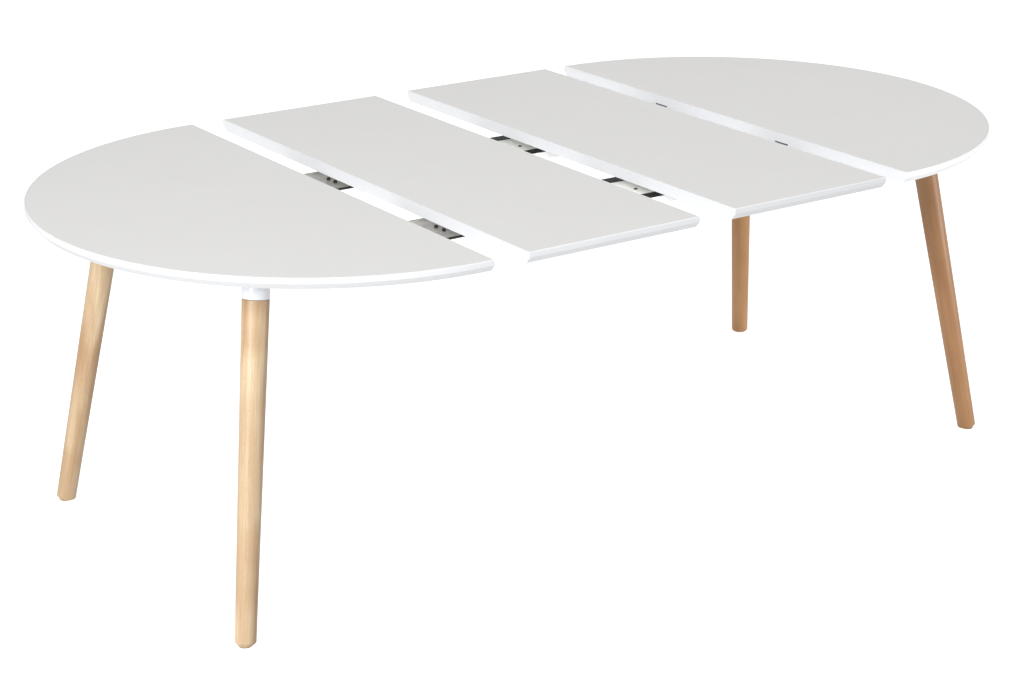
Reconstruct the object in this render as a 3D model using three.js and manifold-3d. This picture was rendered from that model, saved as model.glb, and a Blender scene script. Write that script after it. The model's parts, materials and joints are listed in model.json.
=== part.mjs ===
// Extendable round dining table, pulled fully open with two loose leaves between its halves.
// Two half-round tops stand on splayed, tapered beech legs. Each half carries two flat steel
// slides that run in a floating pair of guide runners under the middle. The leaves sit on
// saddles that ride on the runners and lift straight off.
//
// Millimetres, +Z up. The origin is on the floor under the middle of the open table,
// +X runs along the length to the half with the catches, and +Y across it.

import * as THREE from 'three';
import { mergeVertices } from 'three/addons/utils/BufferGeometryUtils.js';
import Module from 'manifold-3d';

const wasm = await Module();
wasm.setup();

// ---- Driving dimensions -------------------------------------------------------------------

const TABLE_HEIGHT = 730;
const TOP_DIAMETER = 1200;
const LEAF_WIDTH = 400;
const GAP_LEFT = 77;        // left half to leaf 1
const GAP_MIDDLE = 89;      // leaf 1 to leaf 2
const GAP_RIGHT = 59;       // leaf 2 to right half

const CLEARANCE = 0.3;      // between pieces that touch or slide
const OVERCUT = 1;          // how far a cutting shape runs past the face it cuts

// Tops: a lacquered core with a thin laminate let into its upper face.
const CORE_THICKNESS = 24;
const LAMINATE_THICKNESS = 1;
const RIM_BAND = 3;         // lacquered band between the laminate and the outer edge
const JOINT_BAND = 1.5;     // the same at the square edges that meet
const RIM_ROUND = 2;        // eased upper arris of the outer edge
const BEVEL_DROP = 13;      // undercut bevel of the outer edge
const BEVEL_INSET = 11.5;

// Legs.
const LEG_SPLAY = 12.3;     // degrees from upright
const LEG_AZIMUTH = 43;     // degrees from the length of the table
const LEG_INSET = 153;      // from the rim to the leg axis, under the top
const LEG_UPPER_DIAMETER = 52;
const LEG_FOOT_DIAMETER = 41;
const FOOT_CHAMFER = 5;
const GLIDE_DIAMETER = 27;
const GLIDE_THICKNESS = 2.2;
const GLIDE_CHAMFER = 0.6;
const FERRULE_LENGTH = 42;
const FERRULE_WEB = 12;
const TENON_DIAMETER = 39;
const BLOCK_WIDTH = 110;
const BLOCK_DEPTH = 24;     // along the leg axis, from the top's underside
const BOLT_DIAMETER = 8;
const BOLT_HEAD_DIAMETER = 20;
const BOLT_HEAD_THICKNESS = 3;
const BOLT_HEAD_DEPTH = 3;  // head face below the top's underside
const BOLT_IN_LEG = 60;
const BOLT_END_ROOM = 1.5;  // from the bolt's end to the end of its hole

// Runners, one pair of everything at each side of the middle.
const RUNNER_SPACING = 424; // between the two runners' middles
const RUNNER_WIDTH = 165;
const RUNNER_LENGTH = 700;
const RUNNER_DROP = 54;     // from the table's surface to the wear strips
const STRIP_THICKNESS = 2;
const GUIDE_WIDTH = 28;
const GUIDE_WALL = 11;
const FLANGE = 2;
const DECK_HEIGHT = 5.5;    // clear height of each of the two slots
const CENTRE_PLATE_LENGTH = 360;
const TIE_BAR_WIDTH = 30;
const TIE_BAR_THICKNESS = 3;
const TIE_BAR_INSET = 120;  // from the runner's ends

// Slides: shallow trays of folded steel.
const SLIDE_STEEL = 1.5;
const SLIDE_LIP = 4.5;      // height of the folded lip, outside
const SLIDE_SIDE = 4;       // from the folded lip to the guide rail's wall
const SLIDE_REACH = 340;    // past the cut line
const SLIDE_END_GAP = 6;    // from a slide's outer end to the leg block
const SPACER_SETBACK = 70;  // from the cut line
const SPACER_END = 8;       // from the slide's outer end
const SPACER_SIDE = 5;      // from the spacer to the slide's lip

const CROSS_RAIL_WIDTH = 45;
const CROSS_RAIL_DEPTH = 32;
const CROSS_RAIL_SETBACK = 330;
const CROSS_RAIL_END = 150; // from the cross rail's ends to the rim's bevel

// Leaves' battens and saddles.
const BATTEN_LENGTH = 250;
const BATTEN_WIDTH = 60;
const SADDLE_LENGTH = 60;
const SADDLE_BRIDGE = 7.4;  // thickness between the wear strips and the batten
const SADDLE_WALL = 4;
const SADDLE_SKIRT = 10;    // how far the skirts reach down past the wear strips
const PEG_DIAMETER = 10;
const PEG_COVER = 8;        // batten left above the peg

// Sliding catches let into the underside of the right half, at its cut edge.
const CATCH_WIDTH = 42;
const CATCH_LENGTH = 54;
const CATCH_THICKNESS = 3.7;
const CATCH_TRAVEL = 18;
const CATCH_END_PLAY = 1;   // past the travel, in leaf 2's pocket
const CATCH_TAB = 12;       // finger tab, below the top's underside
const CATCH_TAB_THICKNESS = 4;
const CATCH_SLOT = 6;       // width of the slot for the two guide screws

const RIM_SEGMENTS = 120;   // round a whole top
const LEG_SEGMENTS = 32;
const SMALL_SEGMENTS = 20;

// ---- Places that follow from them ----------------------------------------------------------

const TOP_RADIUS = TOP_DIAMETER / 2;
const UNDERSIDE = TABLE_HEIGHT - CORE_THICKNESS;
const LEG_TOP_RADIUS = TOP_RADIUS - LEG_INSET;
const CUT = (GAP_LEFT + GAP_MIDDLE + GAP_RIGHT + 2 * LEAF_WIDTH) / 2;
const LEAF_1_X = -CUT + GAP_LEFT + LEAF_WIDTH / 2;
const LEAF_2_X = CUT - GAP_RIGHT - LEAF_WIDTH / 2;

const STRIP_TOP = TABLE_HEIGHT - RUNNER_DROP;
const GUIDE_TOP = STRIP_TOP - STRIP_THICKNESS;
const UPPER_SLOT_TOP = GUIDE_TOP - FLANGE;
const UPPER_SLOT_FLOOR = UPPER_SLOT_TOP - DECK_HEIGHT;
const LOWER_SLOT_TOP = UPPER_SLOT_FLOOR - FLANGE;
const LOWER_SLOT_FLOOR = LOWER_SLOT_TOP - DECK_HEIGHT;
const GUIDE_BOTTOM = LOWER_SLOT_FLOOR - FLANGE;
const SLIDE_PLAY = (DECK_HEIGHT - SLIDE_LIP) / 2;
const SLIDE_WIDTH = RUNNER_WIDTH - 2 * GUIDE_WALL - 2 * SLIDE_SIDE;
const CENTRE_PLATE_WIDTH = RUNNER_WIDTH - 2 * GUIDE_WIDTH - 2 * CLEARANCE;
const BATTEN_DEPTH = UNDERSIDE - STRIP_TOP - SADDLE_BRIDGE - 2 * CLEARANCE;
const PEG_HEIGHT = BATTEN_DEPTH - PEG_COVER;

const FAR = 1;
const NEAR = -1;
const RIGHT = 1;
const LEFT = -1;

// ---- Finishes -------------------------------------------------------------------------------

const finish = (color, roughness, metalness = 0) =>
  new THREE.MeshStandardMaterial({ color, roughness, metalness });

const FINISHES = {
  laminate: finish(0xdfddda, 0.45),
  lacquer: finish(0xf7f7f6, 0.4),
  beech: finish(0xe6c49c, 0.55),
  ferrule: finish(0xf4f4f4, 0.35),
  zinc: finish(0xb4b8b8, 0.35, 0.9),
  plate: finish(0xdde2da, 0.4, 0.2),
  black: finish(0x1a1a1a, 0.5),
  nylon: finish(0x2a2a2a, 0.6),
  screw: finish(0x9a9a9a, 0.3, 1.0),
  felt: finish(0xb89a78, 0.95),
};

// ---- Solids ---------------------------------------------------------------------------------

const table = new THREE.Group();

function add(name, geometry, material, parent = table) {
  const mesh = new THREE.Mesh(geometry, FINISHES[material].clone());
  mesh.name = name;
  parent.add(mesh);
  return mesh;
}

function toSolid(geometry) {
  const bare = geometry.clone();
  bare.deleteAttribute('normal');
  bare.deleteAttribute('uv');
  const merged = mergeVertices(bare, 1e-4);
  return new wasm.Manifold(new wasm.Mesh({
    numProp: 3,
    vertProperties: new Float32Array(merged.attributes.position.array),
    triVerts: new Uint32Array(merged.index.array),
  }));
}

function toGeometry(solid) {
  const mesh = solid.getMesh();
  const geometry = new THREE.BufferGeometry();
  geometry.setAttribute('position', new THREE.BufferAttribute(mesh.vertProperties, 3));
  geometry.setIndex(new THREE.BufferAttribute(mesh.triVerts, 1));
  geometry.computeVertexNormals();
  return geometry;
}

// A box between two corners.
function block([x0, y0, z0], [x1, y1, z1]) {
  const geometry = new THREE.BoxGeometry(x1 - x0, y1 - y0, z1 - z0);
  return geometry.translate((x0 + x1) / 2, (y0 + y1) / 2, (z0 + z1) / 2);
}

// A turned piece on +Z from [radius, z] points that start and end on the axis.
function turned(profile, segments) {
  const points = profile.map(([radius, z]) => new THREE.Vector2(radius, z));
  return new THREE.LatheGeometry(points, segments).rotateX(Math.PI / 2);
}

// A straight rod on +Z.
function rod(diameter, z0, z1, segments = SMALL_SEGMENTS) {
  const radius = diameter / 2;
  return turned([[0, z0], [radius, z0], [radius, z1], [0, z1]], segments);
}

// A length of folded or rolled section: [y, z] outline carried along X.
function section(outline, x0, x1) {
  const shape = new THREE.Shape(outline.map(([y, z]) => new THREE.Vector2(y, z)));
  const geometry = new THREE.ExtrudeGeometry(shape, { depth: x1 - x0, bevelEnabled: false });
  // Shape x -> world Y, shape y -> world Z, depth -> world X.
  const basis = new THREE.Matrix4().makeBasis(
    new THREE.Vector3(0, 1, 0), new THREE.Vector3(0, 0, 1), new THREE.Vector3(1, 0, 0));
  return geometry.applyMatrix4(basis).translate(x0, 0, 0);
}

// ---- Tops -----------------------------------------------------------------------------------

// Outer edge of a core from the underside up, as [inset from the rim, z].
const EDGE = [
  [BEVEL_INSET, UNDERSIDE],
  [0, UNDERSIDE + BEVEL_DROP],
  [0, TABLE_HEIGHT - RIM_ROUND],
  [RIM_ROUND * (1 - Math.SQRT1_2), TABLE_HEIGHT - RIM_ROUND * (1 - Math.SQRT1_2)],
  [RIM_ROUND, TABLE_HEIGHT],
];
const RECESS_FLOOR = TABLE_HEIGHT - LAMINATE_THICKNESS;

function roundDisc(radius, z0, z1) {
  return rod(2 * radius, z0, z1, RIM_SEGMENTS);
}

// Half of a round solid, on the given side of its own middle line less a set-back.
function halved(geometry, side, setback) {
  const reach = TOP_DIAMETER;
  const near = side * setback;
  const far = side * reach;
  const keep = block([Math.min(near, far), -reach, 0], [Math.max(near, far), reach, reach]);
  return toSolid(geometry).intersect(toSolid(keep));
}

function halfTop(side) {
  const rim = EDGE.map(([inset, z]) => [TOP_RADIUS - inset, z]);
  const disc = turned([[0, UNDERSIDE], ...rim, [0, TABLE_HEIGHT]], RIM_SEGMENTS);
  const recess = roundDisc(TOP_RADIUS - RIM_BAND, RECESS_FLOOR, TABLE_HEIGHT + OVERCUT);
  const core = halved(disc, side, 0).subtract(halved(recess, side, JOINT_BAND));
  const sheetRadius = TOP_RADIUS - RIM_BAND - CLEARANCE;
  const sheet = roundDisc(sheetRadius, RECESS_FLOOR, TABLE_HEIGHT);
  return { core, laminate: halved(sheet, side, JOINT_BAND + CLEARANCE) };
}

// A leaf: square edges that meet, bevelled ends. Its own middle is at x = 0.
function leafTop() {
  const half = LEAF_WIDTH / 2;
  const right = EDGE.map(([inset, z]) => [TOP_RADIUS - inset, z]);
  const left = right.map(([y, z]) => [-y, z]).reverse();
  const slab = toSolid(section([...right, ...left], -half, half));
  const x = half - JOINT_BAND;
  const y = TOP_RADIUS - RIM_BAND;
  const recess = block([-x, -y, RECESS_FLOOR], [x, y, TABLE_HEIGHT + OVERCUT]);
  const core = slab.subtract(toSolid(recess));
  const sheet = block([-x + CLEARANCE, -y + CLEARANCE, RECESS_FLOOR],
    [x - CLEARANCE, y - CLEARANCE, TABLE_HEIGHT]);
  return { core, laminate: sheet };
}

// ---- Legs -----------------------------------------------------------------------------------

const splay = THREE.MathUtils.degToRad(LEG_SPLAY);
const azimuth = THREE.MathUtils.degToRad(LEG_AZIMUTH);
const SHOULDER = BLOCK_DEPTH + CLEARANCE + FERRULE_LENGTH + CLEARANCE;
const TENON_TOP = BLOCK_DEPTH + 2 * CLEARANCE + FERRULE_WEB + CLEARANCE;
const LEG_LENGTH = UNDERSIDE / Math.cos(splay);
const LEG_X = CUT + LEG_TOP_RADIUS * Math.cos(azimuth);
const LEG_Y = LEG_TOP_RADIUS * Math.sin(azimuth);
const BLOCK_REACH = BLOCK_WIDTH * Math.SQRT1_2;      // half of the wedge block's diagonal
const SLIDE_ROOT = LEG_X - CUT - BLOCK_REACH - SLIDE_END_GAP;

// Upright frame where a corner's leg axis meets the top's underside, +X away from the middle.
function cornerMatrix(side, end) {
  const turn = Math.atan2(end * Math.sin(azimuth), side * Math.cos(azimuth));
  const place = new THREE.Matrix4().makeTranslation(side * LEG_X, end * LEG_Y, UNDERSIDE);
  return place.multiply(new THREE.Matrix4().makeRotationZ(turn));
}

// The same frame leant with the leg. Everything on a leg is turned about its own -z.
function legMatrix(side, end) {
  return cornerMatrix(side, end).multiply(new THREE.Matrix4().makeRotationY(-splay));
}

function legProfile() {
  const upper = LEG_UPPER_DIAMETER / 2;
  const foot = LEG_FOOT_DIAMETER / 2;
  const tenon = TENON_DIAMETER / 2 - CLEARANCE;
  const bore = BOLT_DIAMETER / 2 + CLEARANCE;
  const boreEnd = TENON_TOP + BOLT_IN_LEG + BOLT_END_ROOM;
  return [
    [0, -LEG_LENGTH], [foot - FOOT_CHAMFER, -LEG_LENGTH], [foot, -LEG_LENGTH + FOOT_CHAMFER],
    [upper, -SHOULDER], [tenon, -SHOULDER], [tenon, -TENON_TOP],
    [bore, -TENON_TOP], [bore, -boreEnd], [0, -boreEnd],
  ];
}

function makeLeg(name, side, end) {
  const matrix = legMatrix(side, end);

  // Wedge block: upright sides, flat on the top, its lower face square to the leg.
  const half = BLOCK_WIDTH / 2;
  const wedge = block([-half, -half, -2 * BLOCK_DEPTH], [half, half, 0]);
  wedge.applyMatrix4(cornerMatrix(side, end));
  const under = block([-BLOCK_WIDTH, -BLOCK_WIDTH, -BLOCK_WIDTH],
    [BLOCK_WIDTH, BLOCK_WIDTH, -BLOCK_DEPTH]).applyMatrix4(matrix);
  const hole = rod(BOLT_DIAMETER + 2 * CLEARANCE, -BLOCK_WIDTH, 0).applyMatrix4(matrix);
  const sink = rod(BOLT_HEAD_DIAMETER + 2 * CLEARANCE,
    -BOLT_HEAD_DEPTH - BOLT_HEAD_THICKNESS - CLEARANCE, BLOCK_WIDTH).applyMatrix4(matrix);
  const seat = toSolid(wedge).subtract(toSolid(under))
    .subtract(toSolid(hole)).subtract(toSolid(sink));
  add(`${name}_leg_block`, toGeometry(seat), 'lacquer');

  const boltRadius = BOLT_DIAMETER / 2;
  const headRadius = BOLT_HEAD_DIAMETER / 2;
  const headBottom = BOLT_HEAD_DEPTH + BOLT_HEAD_THICKNESS;
  const bolt = turned([
    [0, -TENON_TOP - BOLT_IN_LEG], [boltRadius, -TENON_TOP - BOLT_IN_LEG],
    [boltRadius, -headBottom], [headRadius, -headBottom],
    [headRadius, -BOLT_HEAD_DEPTH], [0, -BOLT_HEAD_DEPTH],
  ], SMALL_SEGMENTS);
  add(`${name}_leg_bolt`, bolt.applyMatrix4(matrix), 'screw');

  // Ferrule: a turned cap, closed by a web at the top, with a socket for the leg's tenon.
  const outer = LEG_UPPER_DIAMETER / 2;
  const bore = BOLT_DIAMETER / 2 + CLEARANCE;
  const top = BLOCK_DEPTH + CLEARANCE;
  const ring = new THREE.LatheGeometry([
    [bore, -top - FERRULE_WEB], [TENON_DIAMETER / 2, -top - FERRULE_WEB],
    [TENON_DIAMETER / 2, -top - FERRULE_LENGTH], [outer, -top - FERRULE_LENGTH],
    [outer, -top], [bore, -top], [bore, -top - FERRULE_WEB],
  ].map(([r, z]) => new THREE.Vector2(r, z)), LEG_SEGMENTS).rotateX(Math.PI / 2);
  add(`${name}_ferrule`, ring.applyMatrix4(matrix), 'ferrule');

  // Leg, cut level at the foot above its glide.
  const leg = toSolid(turned(legProfile(), LEG_SEGMENTS).applyMatrix4(matrix));
  const floorCut = block([-TOP_DIAMETER * 2, -TOP_DIAMETER, -TOP_DIAMETER],
    [TOP_DIAMETER * 2, TOP_DIAMETER, GLIDE_THICKNESS + CLEARANCE]);
  add(`${name}_leg`, toGeometry(leg.subtract(toSolid(floorCut))), 'beech');

  const foot = new THREE.Vector3(0, 0, -LEG_LENGTH).applyMatrix4(matrix);
  const glideRadius = GLIDE_DIAMETER / 2;
  const glide = turned([[0, 0], [glideRadius - GLIDE_CHAMFER, 0], [glideRadius, GLIDE_CHAMFER],
    [glideRadius, GLIDE_THICKNESS], [0, GLIDE_THICKNESS]], SMALL_SEGMENTS);
  add(`${name}_foot_glide`, glide.translate(foot.x, foot.y, 0), 'felt');
}

// ---- Halves ---------------------------------------------------------------------------------

const RUNNERS = [['near', NEAR], ['far', FAR]];
const runnerY = (end) => end * RUNNER_SPACING / 2;

// Left slides run in the upper slots and right slides in the lower ones, so that they pass.
function slideFloor(side) {
  return (side === LEFT ? UPPER_SLOT_FLOOR : LOWER_SLOT_FLOOR) + SLIDE_PLAY;
}

// Pocket for a catch, open below and at the square edge at x = 0, running to `length`.
function catchPocket(length, end) {
  const side = CATCH_WIDTH / 2 + CLEARANCE;
  const y = runnerY(end);
  return toSolid(block([-OVERCUT, y - side, UNDERSIDE - OVERCUT],
    [length + CLEARANCE, y + side, UNDERSIDE + CATCH_THICKNESS + 2 * CLEARANCE]));
}

function makeHalf(side) {
  const word = side === LEFT ? 'left' : 'right';
  const { core, laminate } = halfTop(side);
  let body = core.translate([side * CUT, 0, 0]);
  if (side === RIGHT) {
    for (const [, end] of RUNNERS) {
      body = body.subtract(catchPocket(CATCH_LENGTH, end).translate([CUT, 0, 0]));
    }
  }
  add(`${word}_top_core`, toGeometry(body), 'lacquer');
  add(`${word}_top_laminate`, toGeometry(laminate.translate([side * CUT, 0, 0])), 'laminate');

  const railX = side * (CUT + CROSS_RAIL_SETBACK + CROSS_RAIL_WIDTH / 2);
  const railOuter = CROSS_RAIL_SETBACK + CROSS_RAIL_WIDTH;
  const railHalf = Math.sqrt(TOP_RADIUS ** 2 - railOuter ** 2) - CROSS_RAIL_END;
  const railEnd = Math.min(railHalf, LEG_Y - BLOCK_REACH - CLEARANCE);
  add(`${word}_cross_rail`, block(
    [railX - CROSS_RAIL_WIDTH / 2, -railEnd, UNDERSIDE - CROSS_RAIL_DEPTH],
    [railX + CROSS_RAIL_WIDTH / 2, railEnd, UNDERSIDE]), 'lacquer');

  for (const [where, end] of RUNNERS) {
    const y = runnerY(end);
    const floor = slideFloor(side);
    const plateTop = floor + SLIDE_STEEL;
    const half = SLIDE_WIDTH / 2;
    const inner = half - SLIDE_STEEL;
    const tray = [
      [y - half, floor], [y + half, floor], [y + half, floor + SLIDE_LIP],
      [y + inner, floor + SLIDE_LIP], [y + inner, plateTop], [y - inner, plateTop],
      [y - inner, floor + SLIDE_LIP], [y - half, floor + SLIDE_LIP],
    ];
    const ends = [side * (CUT - SLIDE_REACH), side * (CUT + SLIDE_ROOT)].sort((a, b) => a - b);
    add(`${word}_${where}_slide`, section(tray, ...ends), 'zinc');

    const spacerHalf = inner - SPACER_SIDE;
    const spacer = [side * (CUT + SPACER_SETBACK), side * (CUT + SLIDE_ROOT - SPACER_END)]
      .sort((a, b) => a - b);
    add(`${word}_${where}_spacer`,
      block([spacer[0], y - spacerHalf, plateTop], [spacer[1], y + spacerHalf, UNDERSIDE]),
      'lacquer');

    makeLeg(`${word}_${where}`, side, end);
  }
}

// ---- Guide runners --------------------------------------------------------------------------

function makeRunners() {
  const reach = RUNNER_LENGTH / 2;
  for (const [where, end] of RUNNERS) {
    const y = runnerY(end);
    for (const [edge, hand] of [['outer', end], ['inner', -end]]) {
      const wall = y + hand * RUNNER_WIDTH / 2;
      const inside = wall - hand * GUIDE_WALL;
      const lip = wall - hand * GUIDE_WIDTH;
      const profile = [
        [wall, GUIDE_BOTTOM], [wall, GUIDE_TOP], [lip, GUIDE_TOP], [lip, UPPER_SLOT_TOP],
        [inside, UPPER_SLOT_TOP], [inside, UPPER_SLOT_FLOOR], [lip, UPPER_SLOT_FLOOR],
        [lip, LOWER_SLOT_TOP], [inside, LOWER_SLOT_TOP], [inside, LOWER_SLOT_FLOOR],
        [lip, LOWER_SLOT_FLOOR], [lip, GUIDE_BOTTOM],
      ];
      add(`${where}_${edge}_guide_rail`, section(profile, -reach, reach), 'plate');
      const [y0, y1] = [wall, lip].sort((a, b) => a - b);
      add(`${where}_${edge}_wear_strip`,
        block([-reach, y0, GUIDE_TOP], [reach, y1, STRIP_TOP]), 'black');
    }
    // The plate closes the upper slots at the middle, edge to edge with the upper flanges.
    const half = CENTRE_PLATE_WIDTH / 2;
    const plateReach = CENTRE_PLATE_LENGTH / 2;
    add(`${where}_centre_plate`,
      block([-plateReach, y - half, UPPER_SLOT_TOP], [plateReach, y + half, GUIDE_TOP]), 'plate');
  }
  const span = (RUNNER_SPACING + RUNNER_WIDTH) / 2;
  for (const [word, side] of [['left', LEFT], ['right', RIGHT]]) {
    const x = side * (reach - TIE_BAR_INSET);
    add(`${word}_tie_bar`, block(
      [x - TIE_BAR_WIDTH / 2, -span, GUIDE_BOTTOM - TIE_BAR_THICKNESS],
      [x + TIE_BAR_WIDTH / 2, span, GUIDE_BOTTOM]), 'plate');
  }
}

// ---- Leaves ---------------------------------------------------------------------------------

// Saddle: a bridge over one runner's wear strips with skirts outside its rails and a peg
// for the batten.
function saddle(x, y) {
  const inner = RUNNER_WIDTH / 2 + 2 * CLEARANCE;
  const outer = inner + SADDLE_WALL;
  const seat = STRIP_TOP + CLEARANCE;
  const crown = UNDERSIDE - BATTEN_DEPTH - CLEARANCE;
  const hem = STRIP_TOP - SADDLE_SKIRT;
  const bridge = section([
    [y - outer, hem], [y - inner, hem], [y - inner, seat], [y + inner, seat],
    [y + inner, hem], [y + outer, hem], [y + outer, crown], [y - outer, crown],
  ], x - SADDLE_LENGTH / 2, x + SADDLE_LENGTH / 2);
  const peg = rod(PEG_DIAMETER, seat + CLEARANCE, crown + PEG_HEIGHT).translate(x, y, 0);
  return toSolid(bridge).add(toSolid(peg));
}

function makeLeaf(word, x, takesCatches) {
  const { core, laminate } = leafTop();
  let body = core;
  if (takesCatches) {
    // Pockets in the edge that meets the right half, mirrored from that half's own.
    for (const [, end] of RUNNERS) {
      body = body.subtract(catchPocket(CATCH_TRAVEL + CATCH_END_PLAY, end)
        .mirror([1, 0, 0]).translate([LEAF_WIDTH / 2, 0, 0]));
    }
  }
  add(`${word}_core`, toGeometry(body.translate([x, 0, 0])), 'lacquer');
  add(`${word}_laminate`, laminate.translate(x, 0, 0), 'laminate');
  for (const [where, end] of RUNNERS) {
    const y = runnerY(end);
    const bar = block([x - BATTEN_LENGTH / 2, y - BATTEN_WIDTH / 2, UNDERSIDE - BATTEN_DEPTH],
      [x + BATTEN_LENGTH / 2, y + BATTEN_WIDTH / 2, UNDERSIDE]);
    const socket = rod(PEG_DIAMETER + 2 * CLEARANCE, UNDERSIDE - 2 * BATTEN_DEPTH,
      UNDERSIDE - BATTEN_DEPTH + PEG_HEIGHT + CLEARANCE).translate(x, y, 0);
    add(`${word}_${where}_batten`, toGeometry(toSolid(bar).subtract(toSolid(socket))), 'lacquer');
    add(`${word}_${where}_saddle`, toGeometry(saddle(x, y)), 'nylon');
  }
}

// ---- Catches --------------------------------------------------------------------------------

// A tongue that slides out of the right half into leaf 2's pocket, with a tab to push it by.
function makeCatches() {
  for (const [where, end] of RUNNERS) {
    const y = runnerY(end);
    const half = CATCH_WIDTH / 2;
    const x0 = CUT + CLEARANCE;
    const x1 = CUT + CATCH_LENGTH;
    const z0 = UNDERSIDE + CLEARANCE;
    const tongue = toSolid(block([x0, y - half, z0], [x1, y + half, z0 + CATCH_THICKNESS]));
    const tab = toSolid(block([x1 - CATCH_TAB_THICKNESS, y - half, UNDERSIDE - CATCH_TAB],
      [x1, y + half, z0 + CATCH_THICKNESS]));
    const slotEnd = x1 - CATCH_TAB_THICKNESS - CATCH_SLOT;
    const slot = toSolid(block(
      [slotEnd - CATCH_TRAVEL - CATCH_SLOT, y - CATCH_SLOT / 2, z0 - OVERCUT],
      [slotEnd, y + CATCH_SLOT / 2, z0 + CATCH_THICKNESS + OVERCUT]));
    add(`${where}_catch`, toGeometry(tongue.add(tab).subtract(slot)), 'black');
  }
}

makeHalf(LEFT);
makeHalf(RIGHT);
makeRunners();
makeLeaf('leaf_1', LEAF_1_X, false);
makeLeaf('leaf_2', LEAF_2_X, true);
makeCatches();

export default table;
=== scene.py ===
"""Extendable dining table, pulled open with two loose leaves between its half-round tops."""

import json
import math

import bmesh
import bpy
from mathutils import Matrix, Vector


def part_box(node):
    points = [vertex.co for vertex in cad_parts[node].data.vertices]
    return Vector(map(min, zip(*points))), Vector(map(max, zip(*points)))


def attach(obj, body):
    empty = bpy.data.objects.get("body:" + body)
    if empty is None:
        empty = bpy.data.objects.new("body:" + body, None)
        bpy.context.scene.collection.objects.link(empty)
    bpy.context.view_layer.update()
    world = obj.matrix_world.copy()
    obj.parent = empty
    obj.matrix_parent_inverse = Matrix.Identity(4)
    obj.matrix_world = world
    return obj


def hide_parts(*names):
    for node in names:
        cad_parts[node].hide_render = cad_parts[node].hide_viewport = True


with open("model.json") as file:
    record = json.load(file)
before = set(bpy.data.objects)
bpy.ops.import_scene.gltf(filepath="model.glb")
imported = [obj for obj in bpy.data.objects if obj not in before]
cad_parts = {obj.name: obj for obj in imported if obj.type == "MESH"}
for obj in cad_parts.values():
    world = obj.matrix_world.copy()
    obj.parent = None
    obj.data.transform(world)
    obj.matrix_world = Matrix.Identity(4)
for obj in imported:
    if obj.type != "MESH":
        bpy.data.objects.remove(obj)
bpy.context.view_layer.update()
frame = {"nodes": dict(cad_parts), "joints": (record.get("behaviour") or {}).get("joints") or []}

MM = 0.001
HALVES = ("left", "right")
SIDES = ("near", "far")
LEAVES = ("leaf_1", "leaf_2")
JOINTS = {joint["name"]: joint for joint in frame["joints"]}
UP = Vector((0, 0, 1))
DOWN = Vector((0, 0, -1))

# ---- Sizes that only the finish work needs, in metres --------------------------------------

RIM_STEPS = 160             # round a half top
TURNED_STEPS = 72
ARC_STEPS = 6
RIM_ARRIS = 2.2 * MM        # eased upper edge of a top
BEVEL_ARRIS = 2.5 * MM      # where the under-bevel meets the upright band
UNDER_ARRIS = 1.5 * MM
SQUARE_ARRIS = 0.7 * MM     # eased edges that meet their neighbours
LAMINATE_ARRIS = 0.15 * MM
WOOD_ARRIS = 1.6 * MM
METAL_ARRIS = 0.45 * MM
NYLON_ARRIS = 0.8 * MM
FOOT_ARRIS = 3.5 * MM
CHAMFER_ARRIS = 0.8 * MM    # where a foot's chamfer meets the taper
TENON_ARRIS = 0.6 * MM
FERRULE_ARRIS = 1.2 * MM
FINE_ARRIS = 0.3 * MM       # upper edge of a glide, inner edge of a ferrule
GLIDE_ARRIS = 1.0 * MM
FIT = 0.3 * MM              # the gap that touching pieces keep
SEAM = 0.001 * MM           # points nearer than this are one
FOOT_STUB = 14.0 * MM       # how far a leg is turned past the floor before it is sawn level
FOOT_SHARE = 0.675          # of the ferrule's radius: a foot is wider, its glide narrower

STRIP_THICKNESS = 3.4 * MM
STRIP_FIT = 0.1 * MM

SCREW_HEAD = 4.2 * MM       # radius
SCREW_RISE = 1.9 * MM
SMALL_SCREW_HEAD = 3.4 * MM
SMALL_SCREW_RISE = 1.52 * MM
STUD_HEAD = 4.0 * MM
STUD_RISE = 5.5 * MM
SCREW_STEPS = 32
SCREW_TURN = 0.7            # radians from one screw's cross to the next
STUD_TURN = 0.5
RAIL_SCREW_END = 40 * MM    # from a cross rail's ends
SCREW_END = 30 * MM         # from a batten's or a spacer's ends
SLIDE_SCREW_SIDE = 45 * MM  # from a slide's middle
BLOCK_SCREW_SIDE = 16 * MM  # from the ferrule
CATCH_SCREW_END = 13 * MM
STUD_REACH = 199 * MM       # from the spacer's inner end to the stop studs
STUD_SPACING = 28 * MM
STUD_SHIFT = -5 * MM        # from the slide's middle
PLATE_SCREW_SPACING = 100 * MM
PLATE_SCREW_SHIFT = -12 * MM

NEARLY_STRAIGHT = math.radians(179)
SHARP = math.radians(35)    # faces that meet at less are shaded as one
SCREW_SHARP = math.radians(40)
EDGE_ANGLE = 30.0           # degrees: edges that turn more are eased
BOARD_EDGE_ANGLE = 40.0

# ---- Colours ---------------------------------------------------------------------------------


def tone(red, green, blue):
    """A paint-chart colour, 0 to 255 a channel, as linear light."""
    linear = []
    for value in (red, green, blue):
        share = value / 255
        linear.append(share / 12.92 if share <= 0.04045 else ((share + 0.055) / 1.055) ** 2.4)
    return (*linear, 1.0)


# ---- Shader building -------------------------------------------------------------------------


def put(tree, kind, values=(), **settings):
    """A node with its settings, and its inputs set by name or number."""
    node = tree.nodes.new(kind)
    for name, value in settings.items():
        setattr(node, name, value)
    for socket, value in dict(values).items():
        node.inputs[socket].default_value = value
    return node


def wire(tree, *pairs):
    for start, end in pairs:
        tree.links.new(start, end)


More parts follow.
